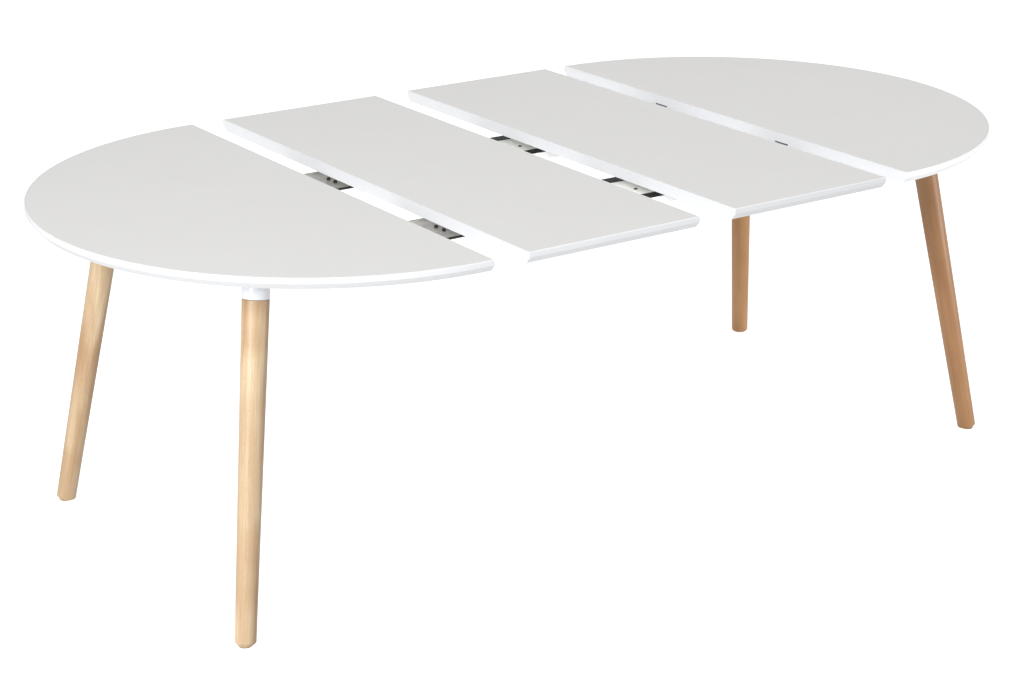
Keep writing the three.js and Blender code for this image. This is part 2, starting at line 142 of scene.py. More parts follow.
def shader_group(name, inputs, outputs):
    """An empty group with its sockets: (tree, inside inputs, inside outputs)."""
    tree = bpy.data.node_groups.new(name, "ShaderNodeTree")
    kinds = {"vector": "NodeSocketVector", "colour": "NodeSocketColor", "value": "NodeSocketFloat"}
    for label, kind, value in inputs:
        socket = tree.interface.new_socket(name=label, in_out="INPUT", socket_type=kinds[kind])
        if value is not None:
            socket.default_value = value
    for label, kind in outputs:
        tree.interface.new_socket(name=label, in_out="OUTPUT", socket_type=kinds[kind])
    start = tree.nodes.new("NodeGroupInput")
    end = tree.nodes.new("NodeGroupOutput")
    return tree, start.outputs, end.inputs


def masked(tree, value, low, high):
    """A mask that is 0 where a value is below one limit and 1 above the other."""
    node = tree.nodes.new("ShaderNodeValToRGB")
    for element, limit, grey in zip(node.color_ramp.elements, (low, high), (0.0, 1.0)):
        element.position = limit
        element.color = (grey, grey, grey, 1.0)
    wire(tree, (value, node.inputs["Fac"]))
    return node.outputs["Color"]


def stretched(tree, vector, scale):
    node = put(tree, "ShaderNodeMapping", {"Scale": scale})
    wire(tree, (vector, node.inputs["Vector"]))
    return node.outputs["Vector"]


def noise(tree, vector, scale, detail, roughness, distortion=0.0):
    """Noise of one scale, or stretched where scale has a value for each axis."""
    if isinstance(scale, tuple):
        vector, scale = stretched(tree, vector, scale), 1.0
    node = put(tree, "ShaderNodeTexNoise", {
        "Scale": scale, "Detail": detail, "Roughness": roughness, "Distortion": distortion})
    wire(tree, (vector, node.inputs["Vector"]))
    return node.outputs["Fac"]


def blended(tree, share, first, second):
    """Colour mix of two sockets or colours, by a share that varies over the surface."""
    node = put(tree, "ShaderNodeMix", data_type="RGBA")
    for socket, value in ((node.inputs[0], share), (node.inputs[6], first), (node.inputs[7], second)):
        if isinstance(value, bpy.types.NodeSocket):
            wire(tree, (value, socket))
        else:
            socket.default_value = value
    return node.outputs[2]


def spread(tree, value, low, high):
    """A 0 to 1 value laid out between two limits."""
    node = put(tree, "ShaderNodeMapRange", {"To Min": low, "To Max": high})
    wire(tree, (value, node.inputs["Value"]))
    return node.outputs["Result"]


def sprayed_skin():
    """The skin of a sprayed or moulded finish: fine orange peel, and a broad, faint cloud."""
    tree, given, result = shader_group("sprayed_skin", [
        ("Vector", "vector", None), ("Peel Scale", "value", 900.0),
        ("Cloud Scale", "value", 7.0)],
        [("Height", "value"), ("Cloud", "value"), ("Speck", "value")])
    peel = put(tree, "ShaderNodeTexNoise", {"Detail": 2.0, "Roughness": 0.5})
    cloud = put(tree, "ShaderNodeTexNoise", {"Detail": 4.0, "Roughness": 0.6})
    for node, scale in ((peel, "Peel Scale"), (cloud, "Cloud Scale")):
        wire(tree, (given["Vector"], node.inputs["Vector"]), (given[scale], node.inputs["Scale"]))
    speck = masked(tree, peel.outputs["Fac"], 0.58, 0.72)
    soft = put(tree, "ShaderNodeMapRange", {"From Min": 0.3, "From Max": 0.7})
    wire(tree, (peel.outputs["Fac"], result["Height"]), (cloud.outputs["Fac"], soft.inputs["Value"]),
         (soft.outputs["Result"], result["Cloud"]), (speck, result["Speck"]))
    return tree


def beech_figure():
    """Beech cut along its length, which is Z: growth bands, fine streaks, flecks and short rays."""
    tree, given, result = shader_group("beech_figure", [
        ("Vector", "vector", None), ("Pale", "colour", tone(236, 205, 164)),
        ("Deep", "colour", tone(205, 158, 110)), ("Ray", "colour", tone(150, 100, 62)),
        ("Seed", "value", 0.0)],
        [("Colour", "colour"), ("Height", "value"), ("Dry", "value")])
    shift = put(tree, "ShaderNodeCombineXYZ")
    moved = put(tree, "ShaderNodeVectorMath", operation="ADD")
    wire(tree, (given["Seed"], shift.inputs["X"]), (given["Seed"], shift.inputs["Z"]),
         (given["Vector"], moved.inputs[0]), (shift.outputs["Vector"], moved.inputs[1]))
    point = moved.outputs["Vector"]
    bands = masked(tree, noise(tree, point, (30.0, 30.0, 2.2), 3.0, 0.5, 0.8), 0.38, 0.62)
    drift = masked(tree, noise(tree, point, (9.0, 9.0, 5.0), 2.0, 0.5), 0.42, 0.62)
    pores = noise(tree, point, (330.0, 330.0, 9.0), 4.0, 0.6)
    streaks = masked(tree, pores, 0.38, 0.75)
    flecks = masked(tree, noise(tree, point, (150.0, 150.0, 34.0), 2.0, 0.5), 0.70, 0.80)
    rays = masked(tree, noise(tree, point, (1100.0, 1100.0, 150.0), 2.0, 0.5), 0.62, 0.70)
    colour = given["Pale"]
    for layer, strength, towards in (
            (bands, 0.5, "Deep"), (drift, 0.55, "Deep"), (streaks, 0.4, "Deep"),
            (flecks, 0.5, "Ray"), (rays, 0.42, "Ray")):
        colour = blended(tree, spread(tree, layer, 0.0, strength), colour, given[towards])
    wire(tree, (colour, result["Colour"]), (pores, result["Height"]), (bands, result["Dry"]))
    return tree


def drawn_lines():
    """The fine parallel lines and dull cloud of rolled or drawn sheet metal, along X."""
    tree, given, result = shader_group("drawn_lines", [
        ("Vector", "vector", None), ("Light", "colour", tone(200, 203, 204)),
        ("Dull", "colour", tone(160, 164, 166))],
        [("Colour", "colour"), ("Height", "value"), ("Dullness", "value")])
    lines = noise(tree, given["Vector"], (14.0, 1600.0, 1600.0), 3.0, 0.6)
    dull = masked(tree, noise(tree, given["Vector"], 38.0, 4.0, 0.6), 0.35, 0.7)
    colour = blended(tree, dull, given["Light"], given["Dull"])
    wire(tree, (colour, result["Colour"]), (lines, result["Height"]), (dull, result["Dullness"]))
    return tree


SKIN = sprayed_skin()
FIGURE = beech_figure()
LINES = drawn_lines()


def started(name, effect, values, placed=None):
    """A material with its own shader and one effect group, fed by the place on the table.

    With a placement, the effect runs along the placed piece's own axes instead.
    """
    material = bpy.data.materials.new(name)
    material.use_nodes = True
    tree = material.node_tree
    shader = tree.nodes["Principled BSDF"]
    group = put(tree, "ShaderNodeGroup", node_tree=effect)
    for socket, value in values.items():
        group.inputs[socket].default_value = value
    where = put(tree, "ShaderNodeTexCoord").outputs["Object"]
    if placed is not None:
        back = placed.inverted()
        own = put(tree, "ShaderNodeMapping", {"Location": back.translation, "Rotation": back.to_euler()})
        wire(tree, (where, own.inputs["Vector"]))
        where = own.outputs["Vector"]
    wire(tree, (where, group.inputs["Vector"]))
    return material, tree, shader, group.outputs


def bumped(tree, shader, height, strength, distance):
    bump = put(tree, "ShaderNodeBump", {"Strength": strength, "Distance": distance})
    wire(tree, (height, bump.inputs["Height"]), (bump.outputs["Normal"], shader.inputs["Normal"]))


def painted(name, light, shade, rough, peel, depth):
    """Lacquer, powder coat, moulded nylon or felt: peel is how fine its skin is, depth how deep."""
    material, tree, shader, skin = started(name, SKIN, {"Peel Scale": peel})
    colour = blended(tree, skin["Cloud"], light, shade)
    wire(tree, (colour, shader.inputs["Base Color"]),
         (spread(tree, skin["Cloud"], *rough), shader.inputs["Roughness"]))
    bumped(tree, shader, skin["Height"], 0.25, depth)
    return material


def laminate(name):
    """Matt light grey laminate with a barely visible pearl speckle."""
    material, tree, shader, skin = started(
        name, SKIN, {"Peel Scale": 1400.0, "Cloud Scale": 3.0})
    body = blended(tree, skin["Cloud"], tone(215, 214, 212), tone(212, 211, 209))
    specked = blended(tree, spread(tree, skin["Speck"], 0.0, 0.12), body, tone(196, 194, 190))
    wire(tree, (specked, shader.inputs["Base Color"]),
         (spread(tree, skin["Cloud"], 0.46, 0.54), shader.inputs["Roughness"]))
    bumped(tree, shader, skin["Height"], 0.15, 0.05 * MM)
    return material


def beech(name, placed, seed, pale, deep):
    """Oiled beech whose grain runs up the leg. Each leg has its own seed, so its own figure."""
    material, tree, shader, figure = started(
        name, FIGURE, {"Seed": seed, "Pale": pale, "Deep": deep}, placed)
    wire(tree, (figure["Colour"], shader.inputs["Base Color"]),
         (spread(tree, figure["Dry"], 0.32, 0.46), shader.inputs["Roughness"]))
    bumped(tree, shader, figure["Height"], 0.3, 0.12 * MM)
    return material


def metal(name, light, dull, rough, metallic):
    """Bare or zinc-coated sheet and wire, with the fine lines that drawing leaves."""
    material, tree, shader, sheet = started(name, LINES, {"Light": light, "Dull": dull})
    shader.inputs["Metallic"].default_value = metallic
    wire(tree, (sheet["Colour"], shader.inputs["Base Color"]),
         (spread(tree, sheet["Dullness"], *rough), shader.inputs["Roughness"]))
    bumped(tree, shader, sheet["Height"], 0.2, 0.04 * MM)
    return material


PALE_BEECH = (tone(204, 181, 148), tone(152, 112, 74))
# The middle and warm beech of the right legs are darker copies of the left legs' beech: partly the wood's
# own warmer tone, partly painted shade for legs that stand further from the lamps and deeper under the
# tops.
MIDDLE_BEECH_WITH_PAINTED_SHADE = (tone(198, 151, 103), tone(165, 119, 74))
WARM_BEECH_WITH_PAINTED_SHADE = (tone(173, 130, 89), tone(145, 101, 63))

# Light and shaded tone, roughness range, peel scale, peel depth.
PAINTS = {
    "white_lacquer": (tone(233, 234, 236), tone(230, 231, 233), (0.30, 0.38), 700.0, 0.05 * MM),
    "white_ferrule": (tone(226, 227, 231), tone(219, 220, 225), (0.25, 0.32), 1200.0, 0.03 * MM),
    "pale_steel": (tone(240, 241, 235), tone(236, 237, 230), (0.38, 0.46), 1500.0, 0.04 * MM),
    "rail_steel": (tone(250, 250, 250), tone(246, 246, 246), (0.38, 0.46), 1500.0, 0.04 * MM),
    "black_steel": (tone(58, 44, 38), tone(40, 33, 29), (0.24, 0.34), 1500.0, 0.05 * MM),
    "catch_steel": (tone(92, 92, 98), tone(80, 80, 86), (0.30, 0.40), 1500.0, 0.05 * MM),
    "black_nylon": (tone(22, 22, 23), tone(17, 17, 18), (0.5, 0.6), 1800.0, 0.06 * MM),
    "beige_felt": (tone(178, 146, 112), tone(160, 128, 96), (0.9, 1.0), 2600.0, 0.3 * MM),
}
# Light and dull tone, roughness range, metallic.
METALS = {
    "zinc_steel": (tone(208, 206, 200), tone(186, 184, 177), (0.34, 0.48), 0.3),
    "bright_fasteners": (tone(190, 190, 188), tone(150, 150, 148), (0.22, 0.34), 1.0),
}
FINISH = {
    "grey_laminate": laminate("grey_laminate"),
    **{name: painted(name, *look) for name, look in PAINTS.items()},
    **{name: metal(name, *look) for name, look in METALS.items()},
}

# ---- Mesh building ---------------------------------------------------------------------------


def filleted(points, radii):
    """A polyline with its inner corners rounded. radii has one value for each inner corner."""
    out = [Vector(points[0])]
    for before, corner, after, radius in zip(points, points[1:], points[2:], radii):
        before, corner, after = Vector(before), Vector(corner), Vector(after)
        back, ahead = (before - corner).normalized(), (after - corner).normalized()
        angle = back.angle(ahead)
        if radius <= 0 or angle > NEARLY_STRAIGHT:
            out.append(corner)
            continue
        cut = radius / math.tan(angle / 2)
        middle = corner + (back + ahead).normalized() * (radius / math.sin(angle / 2))
        first, last = corner + back * cut - middle, corner + ahead * cut - middle
        sweep = first.angle(last)
        for step in range(ARC_STEPS + 1):
            share = step / ARC_STEPS
            arm = (first * math.sin((1 - share) * sweep) + last * math.sin(share * sweep))
            out.append(middle + arm / math.sin(sweep))
    out.append(Vector(points[-1]))
    return out


def made(name, form):
    """An object from a form, which is used up."""
    bmesh.ops.recalc_face_normals(form, faces=form.faces)
    mesh = bpy.data.meshes.new(name)
    form.to_mesh(mesh)
    form.free()
    thing = bpy.data.objects.new(name, mesh)
    bpy.context.scene.collection.objects.link(thing)
    return thing


def piece(name, form, finish, body):
    """A new piece of the table from a form, riding on its body. finish is a name or a material."""
    thing = made(name, form)
    thing.data.shade_smooth()
    thing.data.set_sharp_from_angle(angle=SHARP)
    thing.data.materials.append(FINISH[finish] if isinstance(finish, str) else finish)
    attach(thing, body)
    return thing


def lofted(rings):
    """A closed solid through rings of equal count, capped at both ends."""
    form = bmesh.new()
    rows = [[form.verts.new(point) for point in ring] for ring in rings]
    count = len(rows[0])
    for lower, upper in zip(rows, rows[1:]):
        for i in range(count):
            j = (i + 1) % count
            form.faces.new((lower[i], lower[j], upper[j], upper[i]))
    form.faces.new(list(reversed(rows[0])))
    form.faces.new(rows[-1])
    return form


def turned(profile, steps=TURNED_STEPS):
    """A solid turned on Z from (radius, z) points. Its ends may lie on the axis."""
    form = bmesh.new()
    rows = []
    angles = [2 * math.pi * step / steps for step in range(steps)]
    for radius, z in profile:
        if radius < SEAM:
            rows.append([form.verts.new((0, 0, z))])
            continue
        rows.append([form.verts.new((radius * math.cos(a), radius * math.sin(a), z)) for a in angles])
    for lower, upper in zip(rows, rows[1:]):
        for i in range(steps):
            j = (i + 1) % steps
            if len(lower) == 1 and len(upper) == 1:
                continue
            if len(lower) == 1:
                form.faces.new((lower[0], upper[j], upper[i]))
            elif len(upper) == 1:
                form.faces.new((lower[i], lower[j], upper[0]))
            else:
                form.faces.new((lower[i], lower[j], upper[j], upper[i]))
    return form


def eased(thing, width, segments=3, angle=EDGE_ANGLE):
    """Eases the sharp edges of a piece."""
    edge = thing.modifiers.new("eased_edges", "BEVEL")
    edge.width = width
    edge.segments = segments
    edge.limit_method = "ANGLE"
    edge.angle_limit = math.radians(angle)
    edge.harden_normals = True
    edge.use_clamp_overlap = True
    return thing


def rectangle(x0, x1, y0, y1, z):
    return [(x0, y0, z), (x1, y0, z), (x1, y1, z), (x0, y1, z)]


def box(low, high):
    """The form of a box between two corners."""
    (x0, y0, z0), (x1, y1, z1) = low, high
    return lofted([rectangle(x0, x1, y0, y1, z) for z in (z0, z1)])


def hollowed(thing, cutters):
    """Cuts box pockets, each given by two corners, out of a piece's mesh."""
    for low, high in cutters:
        cutter = made("pocket", box(low, high))
        cut = thing.modifiers.new("pocket", "BOOLEAN")
        cut.operation = "DIFFERENCE"
        cut.solver = "EXACT"
        cut.object = cutter
        bpy.context.view_layer.update()
        graph = bpy.context.evaluated_depsgraph_get()
        result = bpy.data.meshes.new_from_object(thing.evaluated_get(graph))
        thing.modifiers.remove(cut)
        thing.data = result
        bpy.data.objects.remove(cutter)
    thing.data.set_sharp_from_angle(angle=SHARP)
    return thing


# ---- Tops ------------------------------------------------------------------------------------


def edge_sizes(core, laminate_node):
    """Bevel, band and recess sizes of a top, read from its frame pieces at the far rim."""
    points = [vertex.co for vertex in frame["nodes"][core].data.vertices]
    low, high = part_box(core)
    sheet_low, sheet_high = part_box(laminate_node)
    rim = high.y
    under = max(p.y for p in points if p.z < low.z + FIT)
    band_foot = min(p.z for p in points if p.y > rim - FIT)
    return {
        "bevel_inset": rim - under,
        "bevel_drop": band_foot - low.z,
        "rim_band": rim - sheet_high.y - FIT,
        "under": low.z,
        "top": high.z,
        "recess": sheet_low.z,
    }


def edge_profile(size):
    """Outer edge of a top as (inset, z), from the underside to the eased upper arris."""
    corners = [
        (size["bevel_inset"] * 2, size["under"]),
        (size["bevel_inset"], size["under"]),
        (0, size["under"] + size["bevel_drop"]),
        (0, size["top"]),
        (size["rim_band"], size["top"]),
    ]
    return filleted(corners, [UNDER_ARRIS, BEVEL_ARRIS, RIM_ARRIS])[:-1]


def half_round(radius, setback, side, cut, z):
    """Outline of a half disc whose straight edge lies a setback inside the cut line."""
    reach = math.acos(setback / radius)
    ring = []
    for step in range(RIM_STEPS + 1):
        angle = -reach + 2 * reach * step / RIM_STEPS
        ring.append((cut + side * radius * math.cos(angle), radius * math.sin(angle), z))
    return ring


def half_top(half, side):
    core, sheet = f"{half}_top_core", f"{half}_top_laminate"
    size = edge_sizes(core, sheet)
    low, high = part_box(core)
    cut = high.x if side < 0 else low.x
    radius = high.y
    sheet_low, sheet_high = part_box(sheet)
    joint_band = abs(cut - (sheet_high.x if side < 0 else sheet_low.x)) - FIT

    rings = [half_round(radius - inset, 0.0, side, cut, z) for inset, z in edge_profile(size)]
    inner = radius - size["rim_band"]
    rings.append(half_round(inner, joint_band, side, cut, size["top"]))
    rings.append(half_round(inner, joint_band, side, cut, size["recess"]))
    board = piece(f"{half}_board", lofted(rings), "white_lacquer", f"{half}_half")
    if side > 0:
        hollowed(board, [catch_pocket(where, cut, 1) for where in SIDES])
    eased(board, SQUARE_ARRIS, angle=BOARD_EDGE_ANGLE)
    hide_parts(core)

    reach = inner - FIT
    face = [half_round(reach, joint_band + FIT, side, cut, z) for z in (size["recess"], size["top"])]
    surface = piece(f"{half}_surface", lofted(face), "grey_laminate", f"{half}_half")
    eased(surface, LAMINATE_ARRIS, segments=2)
    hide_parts(sheet)
    return board


def catch_pocket(where, edge, side):
    """Pocket for a catch: as long as the catch in the half, as its travel in the leaf."""
    low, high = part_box(f"{where}_catch")
    travel = JOINTS[f"{where}_catch_slide"]["range_m"][1]
    inner = high.x + FIT if side > 0 else edge - travel - MM
    outer = edge - side * MM
    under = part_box("right_top_core")[0].z
    return ((min(inner, outer), low.y - FIT, under - MM), (max(inner, outer), high.y + FIT, high.z + FIT))


def leaf_top(leaf):
    core, sheet = f"{leaf}_core", f"{leaf}_laminate"
    size = edge_sizes(core, sheet)
    low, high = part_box(core)
    sheet_low, sheet_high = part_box(sheet)
    rings = [rectangle(low.x, high.x, low.y + inset, high.y - inset, z)
             for inset, z in edge_profile(size)]
    band = sheet_low.x - low.x - FIT
    inner = high.y - size["rim_band"]
    for z in (size["top"], size["recess"]):
        rings.append(rectangle(low.x + band, high.x - band, -inner, inner, z))
    board = piece(f"{leaf}_board", lofted(rings), "white_lacquer", leaf)
    if leaf == LEAVES[1]:
        hollowed(board, [catch_pocket(where, high.x, -1) for where in SIDES])
    eased(board, SQUARE_ARRIS, angle=BOARD_EDGE_ANGLE)
    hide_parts(core)
    face = box((sheet_low.x, sheet_low.y, size["recess"]), (sheet_high.x, sheet_high.y, size["top"]))
    surface = piece(f"{leaf}_surface", face, "grey_laminate", leaf)
    eased(surface, LAMINATE_ARRIS, segments=2)
    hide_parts(sheet)


# ---- Legs ------------------------------------------------------------------------------------


def leg_frame(corner):
    """Places things turned on a leg's own axis: origin on the floor, +Z up the leg."""
    glide_low, glide_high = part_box(f"{corner}_foot_glide")
    collar_low, collar_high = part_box(f"{corner}_ferrule")
    foot = (glide_low + glide_high) / 2
    foot.z = 0
    up = ((collar_low + collar_high) / 2 - foot).normalized()
    return Matrix.Translation(foot) @ up.to_track_quat("Z", "Y").to_matrix().to_4x4()


def in_leg(node, placed):
    """(radius, height) of a frame node's points on a leg's own axis."""
    back = placed.inverted()
    points = [back @ vertex.co for vertex in frame["nodes"][node].data.vertices]
    return [(math.hypot(p.x, p.y), p.z) for p in points]


def place(thing, matrix):
    """Moves a piece's mesh from its own axes to where the piece stands."""
    thing.data.transform(matrix)
    return thing


def turned_leg(corner, placed, body, seed, colours):
    """The beech leg, turned past the floor and sawn level just above its glide."""
    collar = in_leg(f"{corner}_ferrule", placed)
    collar_foot = min(z for _, z in collar)
    collar_radius = max(r for r, _ in collar)
    timber = in_leg(f"{corner}_leg", placed)
    tenon_top = max(z for _, z in timber)
    tenon = max(r for r, z in timber if z > tenon_top - FIT)
    shoulder = collar_foot - FIT
    top_radius = max(r for r, z in timber if abs(z - shoulder) < 2 * FIT)
    chamfer = max(z for r, z in timber if z < shoulder / 2 and r > FOOT_SHARE * collar_radius)
    foot_radius = max(r for r, z in timber if abs(z - chamfer) < MM)
    sole_radius = foot_radius - chamfer
    form = turned(filleted([
        (0, -FOOT_STUB), (sole_radius, -FOOT_STUB), (sole_radius, 0),
        (foot_radius, chamfer), (top_radius, shoulder), (tenon, shoulder),
        (tenon, tenon_top), (0, tenon_top)],
        [0, 0, FOOT_ARRIS, CHAMFER_ARRIS, 0, TENON_ARRIS]))
    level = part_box(f"{corner}_foot_glide")[1].z + FIT
    plane = placed.inverted() @ Vector((placed.translation.x, placed.translation.y, level))
    normal = placed.to_3x3().inverted() @ UP
    parts = form.verts[:] + form.edges[:] + form.faces[:]
    cut = bmesh.ops.bisect_plane(form, geom=parts, plane_co=plane, plane_no=normal, clear_inner=True)
    rim = [item for item in cut["geom_cut"] if isinstance(item, bmesh.types.BMEdge)]
    bmesh.ops.holes_fill(form, edges=rim)
    grain = beech(f"beech_{corner}", placed, seed, *colours)
    post = place(piece(f"{corner}_turned_leg", form, grain, body), placed)
    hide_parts(f"{corner}_leg")
    return post


def ferrule(corner, placed, body):
    """The white ferrule: a ring round the leg's tenon, closed above by a web with the bolt's hole."""
    points = in_leg(f"{corner}_ferrule", placed)
    foot, top = min(z for _, z in points), max(z for _, z in points)
    radius = max(r for r, _ in points)
    bore = min(r for r, _ in points)
    socket = max(r for r, _ in points if r < radius - MM)
    web = min(z for r, z in points if r < socket - MM)
    ring = filleted(
        [(bore, top), (bore, web), (socket, web), (socket, foot), (radius, foot), (radius, top),
         (bore, top)],
        [0, 0, FINE_ARRIS, FERRULE_ARRIS, FERRULE_ARRIS])
    form = turned(ring)
    bmesh.ops.remove_doubles(form, verts=form.verts, dist=SEAM)
    collar = place(piece(f"{corner}_collar", form, "white_ferrule", body), placed)
    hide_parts(f"{corner}_ferrule")
    return collar


def glide(corner, placed, body):
    low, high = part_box(f"{corner}_foot_glide")
    radius = (high.x - low.x) / 2
    disc = filleted([(0, 0), (radius, 0), (radius, high.z), (0, high.z)], [GLIDE_ARRIS, FINE_ARRIS])
    pad = piece(f"{corner}_glide", turned(disc), "beige_felt", body)
    place(pad, Matrix.Translation(placed.translation))
    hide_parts(f"{corner}_foot_glide")


def leg(corner, body, seed, colours):
    """A leg with its ferrule and glide. Gives back the leg and the ferrule."""
    placed = leg_frame(corner)
    post = turned_leg(corner, placed, body, seed, colours)
    collar = ferrule(corner, placed, body)
    glide(corner, placed, body)
    return post, collar


# ---- Screws ----------------------------------------------------------------------------------


def screw_mesh(name, radius, rise, finish="bright_fasteners"):
    """A pan-head screw with a cross recess, its head on z = 0 and above: (mesh, finish)."""
    shank, crown, shoulder = radius * 0.55, radius * 0.9, radius * 0.35
    head = made(name, turned(filleted(
        [(0, -rise), (shank, -rise), (shank, 0), (radius, 0), (crown, rise), (0, rise)],
        [0, 0, 0.1 * MM, shoulder]), SCREW_STEPS))
    arm, width, depth = radius * 0.55, radius * 0.11, rise * 0.35
    hollowed(head, [((-arm, -width, depth), (arm, width, rise * 2)),
                    ((-width, -arm, depth), (width, arm, rise * 2))])
    mesh = head.data
    bpy.data.objects.remove(head)
    mesh.shade_smooth()
    mesh.set_sharp_from_angle(angle=SCREW_SHARP)
    mesh.materials.append(FINISH[finish])
    return mesh, finish


BIG_SCREW = screw_mesh("pan_screw", SCREW_HEAD, SCREW_RISE)
SMALL_SCREW = screw_mesh("small_pan_screw", SMALL_SCREW_HEAD, SMALL_SCREW_RISE)
STUD = screw_mesh("stop_stud", STUD_HEAD, STUD_RISE, "black_steel")
PLATE_SCREW = screw_mesh("plate_screw", SCREW_HEAD, SCREW_RISE, "black_steel")


def screw(name, where, facing, body, kind=BIG_SCREW, turn=0.0):
    """A screw whose head sits on the surface at a point and looks the given way."""
    mesh, finish = kind
    thing = bpy.data.objects.new(name, mesh)
    bpy.context.scene.collection.objects.link(thing)
    aim = facing.to_track_quat("Z", "Y").to_matrix().to_4x4()
    thing.matrix_world = Matrix.Translation(where) @ aim @ Matrix.Rotation(turn, 4, "Z")
    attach(thing, body)
    return thing


def screws_under(name, points, z, body, kind=BIG_SCREW):
    for number, (x, y) in enumerate(points, 1):
        screw(f"{name}_{number}", Vector((x, y, z)), DOWN, body, kind, SCREW_TURN * number)


# ---- Frame pieces that keep their shape ---------------------------------------------------------


def dressed(node, finish, arris):
    """A frame piece whose shape is right: it gets its finish and eased edges."""
    thing = frame["nodes"][node]
    thing.data.materials.clear()
    thing.data.materials.append(FINISH[finish])
    return eased(thing, arris)


def fixings(half, side):
    body = f"{half}_half"
    rail_low, rail_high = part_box(f"{half}_cross_rail")
    dressed(f"{half}_cross_rail", "white_lacquer", WOOD_ARRIS)
    middle = (rail_low.x + rail_high.x) / 2
    ends = rail_high.y - RAIL_SCREW_END
    screws_under(f"{half}_cross_rail_screw", [(middle, y) for y in (-ends, 0.0, ends)],
                 rail_low.z, body)
    for where in SIDES:
        name = f"{half}_{where}"
        dressed(f"{name}_spacer", "white_lacquer", WOOD_ARRIS)
        dressed(f"{name}_slide", "zinc_steel", METAL_ARRIS)
        dressed(f"{name}_leg_block", "white_lacquer", WOOD_ARRIS)
        dressed(f"{name}_leg_bolt", "bright_fasteners", METAL_ARRIS)
        slide_fixings(name, body, side)
        block_screws(name, body)


def slide_fixings(name, body, side):
    """Screws through a slide into its spacer, two stop studs near the cut line, edge strips."""
    low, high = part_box(f"{name}_slide")
    spacer_low, spacer_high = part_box(f"{name}_spacer")
    y = (low.y + high.y) / 2
    points = [(x, y + end * SLIDE_SCREW_SIDE)
              for x in (spacer_low.x + SCREW_END, spacer_high.x - SCREW_END) for end in (-1, 1)]
    screws_under(f"{name}_slide_screw", points, low.z, body)
    stud_x = (spacer_high.x if side < 0 else spacer_low.x) - side * STUD_REACH
    for number, end in enumerate((-1, 1), 1):
        at = Vector((stud_x, y + STUD_SHIFT + end * STUD_SPACING / 2, spacer_low.z))
        screw(f"{name}_stop_stud_{number}", at, UP, body, STUD, STUD_TURN * number)
    for word, edge in (("near", low.y - STRIP_FIT - STRIP_THICKNESS), ("far", high.y + STRIP_FIT)):
        form = box((low.x, edge, low.z), (high.x, edge + STRIP_THICKNESS, high.z))
        eased(piece(f"{name}_slide_{word}_strip", form, "black_nylon", body), METAL_ARRIS)


def block_screws(name, body):
    """Four screws round each leg, on the block's face that is square to the leg."""
    placed = leg_frame(name)
    seat = min(z for _, z in in_leg(f"{name}_leg_block", placed))
    collar = max(r for r, _ in in_leg(f"{name}_ferrule", placed))
    reach = collar + BLOCK_SCREW_SIDE
    facing = -(placed.to_3x3() @ UP)
    for number in range(1, 5):
        a = (number - 0.5) * math.pi / 2
        at = placed @ Vector((reach * math.cos(a), reach * math.sin(a), seat))
        screw(f"{name}_leg_block_screw_{number}", at, facing, body, turn=number)


def guide_runners():
    body = "guide_runners"
    for where in SIDES:
        dressed(f"{where}_centre_plate", "pale_steel", METAL_ARRIS)
        low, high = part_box(f"{where}_centre_plate")
        y = (low.y + high.y) / 2
        for number, x in enumerate((-PLATE_SCREW_SPACING, 0.0, PLATE_SCREW_SPACING), 1):
            at = Vector((x, y + PLATE_SCREW_SHIFT, high.z))
            screw(f"{where}_centre_plate_screw_{number}", at, UP, body, PLATE_SCREW, turn=number)
        for edge in ("outer", "inner"):
            dressed(f"{where}_{edge}_guide_rail", "rail_steel", METAL_ARRIS)
            dressed(f"{where}_{edge}_wear_strip", "black_nylon", METAL_ARRIS)
    for half in HALVES:
        dressed(f"{half}_tie_bar", "pale_steel", METAL_ARRIS)
        low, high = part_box(f"{half}_tie_bar")
        x = (low.x + high.x) / 2
        points = []
        for where in SIDES:
            for edge in ("outer", "inner"):
                rail_low, rail_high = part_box(f"{where}_{edge}_guide_rail")
                points.append((x, (rail_low.y + rail_high.y) / 2))
        screws_under(f"{half}_tie_bar_screw", points, low.z, body, SMALL_SCREW)


def leaf_fixings(leaf):
    for where in SIDES:
        dressed(f"{leaf}_{where}_batten", "white_lacquer", WOOD_ARRIS)
        dressed(f"{leaf}_{where}_saddle", "black_nylon", NYLON_ARRIS)
        low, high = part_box(f"{leaf}_{where}_batten")
        y = (low.y + high.y) / 2
        points = [(x, y) for x in (low.x + SCREW_END, high.x - SCREW_END)]
        screws_under(f"{leaf}_{where}_batten_screw", points, low.z, leaf)


def catches():
    for where in SIDES:
        dressed(f"{where}_catch", "catch_steel", METAL_ARRIS)
        low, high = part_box(f"{where}_catch")
        tongue_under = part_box("right_top_core")[0].z + FIT
        y = (low.y + high.y) / 2
        screws_under(f"{where}_catch_screw", [(high.x - CATCH_SCREW_END, y)], tongue_under,
                     "right_half", SMALL_SCREW)


# ---- The table ---------------------------------------------------------------------------------

half_top("left", -1)
fixings("left", -1)
right_board = half_top("right", 1)
fixings("right", 1)
for leaf in LEAVES:
    leaf_top(leaf)
    leaf_fixings(leaf)
guide_runners()
catches()
left_legs = [*leg("left_near", "left_half", 0.0, PALE_BEECH),
             *leg("left_far", "left_half", 3.7, PALE_BEECH)]
# The right legs take the darker beech, part wood tone and part painted shade.
right_legs = [leg("right_near", "right_half", 8.1, WARM_BEECH_WITH_PAINTED_SHADE)[0],
              leg("right_far", "right_half", 12.9, MIDDLE_BEECH_WITH_PAINTED_SHADE)[0]]

# ---- Floor, light and camera ---------------------------------------------------------------------

FLOOR_REACH = 60.0
FLOOR_THICKNESS = 0.02
FLOOR_GREY = (0.35, 0.35, 0.35, 1.0)
FLOOR_GLOW = 0.95           # what the eye sees of the floor, before the light on it
FLOOR_BOUNCE = 0.55         # what the table gets back from it
SKY = 0.5
PLAIN = (1.0, 1.0, 1.0)
